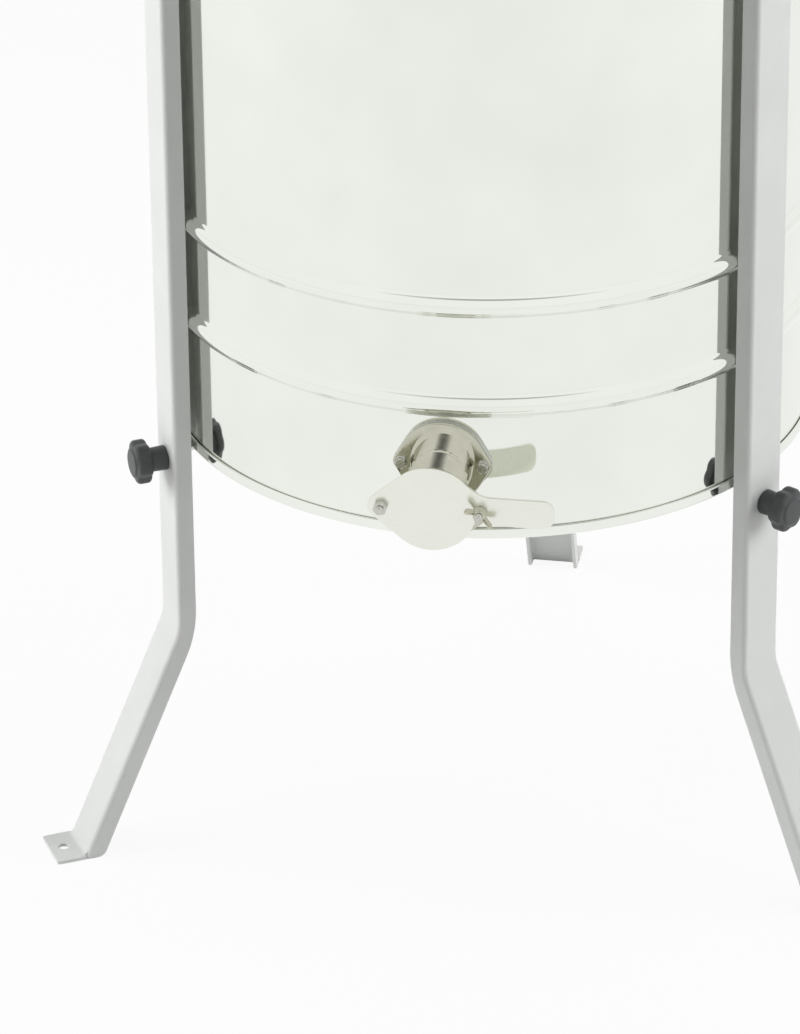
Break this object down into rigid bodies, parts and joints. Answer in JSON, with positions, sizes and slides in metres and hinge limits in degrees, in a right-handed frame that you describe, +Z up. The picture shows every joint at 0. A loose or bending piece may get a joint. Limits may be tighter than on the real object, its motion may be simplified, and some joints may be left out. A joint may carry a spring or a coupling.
{
  "type": "honey extractor",
  "caption": "Hand-cranked honey extractor: polished steel drum on bent channel legs, with a swing-blade gate, a tangential frame basket, bevel-gear crank and clear half lids.",
  "frame": {"origin": "drum axis at floor level, the centre of the circle of floor-bolt holes in the three feet", "axes": "+Z up along the drum axis; the honey gate looks along -Y; the crank is on +X"},
  "size_m": [0.7558, 0.7025, 1.078],
  "materials": {
    "satin_sheet": "stainless sheet, satin tumbled",
    "polished_steel": "rolled stainless sheet, mirror polished",
    "cast_steel": "stainless casting, tumbled and polished",
    "turned_steel": "turned or drawn stainless, fine machining marks",
    "steel_fasteners": "stainless bolts and nuts, satin",
    "leg_paint": "light grey powder coat on bent steel",
    "black_plastic": "black moulded plastic, satin",
    "gasket_rubber": "pale silicone gasket",
    "white_ptfe": "white plastic seal and bush",
    "clear_acrylic": "clear acrylic sheet with polished edges",
    "gear_brass": "cut brass gears",
    "bush_bronze": "sintered bronze bushes",
    "cast_aluminium": "sand-cast aluminium, blasted",
    "basket_wire": "welded stainless wire and flat bar, pickled"
  },
  "bodies": {
    "body": {"drum_shell": "polished_steel", "drum_bottom": "polished_steel", "leg_front_left": "leg_paint", "leg_front_right": "leg_paint", "leg_rear": "leg_paint", "leg_brackets": "turned_steel", "leg_spacers": "turned_steel", "leg_top_bolts": "steel_fasteners", "gate_gasket": "gasket_rubber", "gate_flange": "cast_steel", "gate_flange_bolts": "steel_fasteners", "gate_body": "cast_steel", "gate_seal": "white_ptfe", "gate_pivot_bolt": "steel_fasteners", "gate_pivot_nut": "steel_fasteners", "gate_stud": "steel_fasteners", "cross_bar": "polished_steel", "bar_brackets": "turned_steel", "bar_wall_bolts": "steel_fasteners", "bar_top_bolts": "steel_fasteners", "bottom_boss": "turned_steel", "bottom_bush": "white_ptfe", "thrust_ball": "turned_steel", "upper_bearing_housing": "turned_steel", "upper_bearing": "turned_steel", "gear_case": "cast_aluminium", "gear_case_cover": "cast_aluminium", "gear_case_bolts": "steel_fasteners", "crank_bushes": "bush_bronze", "pillow_block": "cast_aluminium", "pillow_block_bolts": "steel_fasteners", "hinge_bases": "turned_steel", "hinge_pins": "steel_fasteners"},
    "basket": {"basket_shaft": "turned_steel", "basket_pinion": "gear_brass", "basket_collars": "turned_steel", "basket_top_frame": "basket_wire", "basket_bottom_frame": "basket_wire", "basket_rods": "basket_wire", "basket_screens": "basket_wire"},
    "crank": {"crank_shaft": "turned_steel", "crank_gear": "gear_brass", "crank_arm": "turned_steel", "grip_bolt": "steel_fasteners"},
    "grip": {"crank_grip": "black_plastic"},
    "front_lid": {"lid_front": "clear_acrylic", "lid_front_leaves": "turned_steel", "lid_front_knob": "black_plastic"},
    "rear_lid": {"lid_rear": "clear_acrylic", "lid_rear_leaves": "turned_steel", "lid_rear_knob": "black_plastic"},
    "blade": {"gate_blade": "satin_sheet"},
    "clamp_nut": {"wing_nut": "cast_steel"},
    "knob_left": {"knob_front_left": "black_plastic", "knob_stud_front_left": "steel_fasteners"},
    "knob_right": {"knob_front_right": "black_plastic", "knob_stud_front_right": "steel_fasteners"},
    "knob_back": {"knob_rear": "black_plastic", "knob_stud_rear": "steel_fasteners"}
  },
  "joints": [
    {"name": "basket_spin", "type": "hinge", "parent": "body", "child": "basket", "pos_m": [0, 0, 0.6], "axis": [0, 0, 1], "continuous": true},
    {"name": "crank_spin", "type": "hinge", "parent": "body", "child": "crank", "pos_m": [0.15, 0, 1.036], "axis": [1, 0, 0], "continuous": true},
    {"name": "grip_spin", "type": "hinge", "parent": "crank", "child": "grip", "pos_m": [0.352, 0, 0.886], "axis": [1, 0, 0], "continuous": true},
    {"name": "front_lid_hinge", "type": "hinge", "parent": "body", "child": "front_lid", "pos_m": [0, -0.0505, 0.9705], "axis": [-1, 0, 0], "range_deg": [0, 95]},
    {"name": "rear_lid_hinge", "type": "hinge", "parent": "body", "child": "rear_lid", "pos_m": [0, 0.0505, 0.9705], "axis": [1, 0, 0], "range_deg": [0, 95]},
    {"name": "blade_pivot", "type": "hinge", "parent": "body", "child": "blade", "pos_m": [-0.0434, -0.29655, 0.4044], "axis": [0, -1, 0], "range_deg": [0, 100]},
    {"name": "wing_nut_turn", "type": "hinge", "parent": "body", "child": "clamp_nut", "pos_m": [0.0342, -0.30255, 0.4044], "axis": [0, -1, 0], "continuous": true},
    {"name": "knob_left_turn", "type": "hinge", "parent": "body", "child": "knob_left", "pos_m": [-0.25364, -0.14059, 0.348], "axis": [-0.8746, -0.4848, 0], "continuous": true},
    {"name": "knob_right_turn", "type": "hinge", "parent": "body", "child": "knob_right", "pos_m": [0.24858, -0.14936, 0.348], "axis": [0.8572, -0.515, 0], "continuous": true},
    {"name": "knob_rear_turn", "type": "hinge", "parent": "body", "child": "knob_back", "pos_m": [0.00506, 0.28996, 0.348], "axis": [0.0175, 0.9998, 0], "continuous": true}
  ],
  "couplings": [
    {"joint": "crank_spin", "follows": "basket_spin", "ratio": 0.44444}
  ]
}
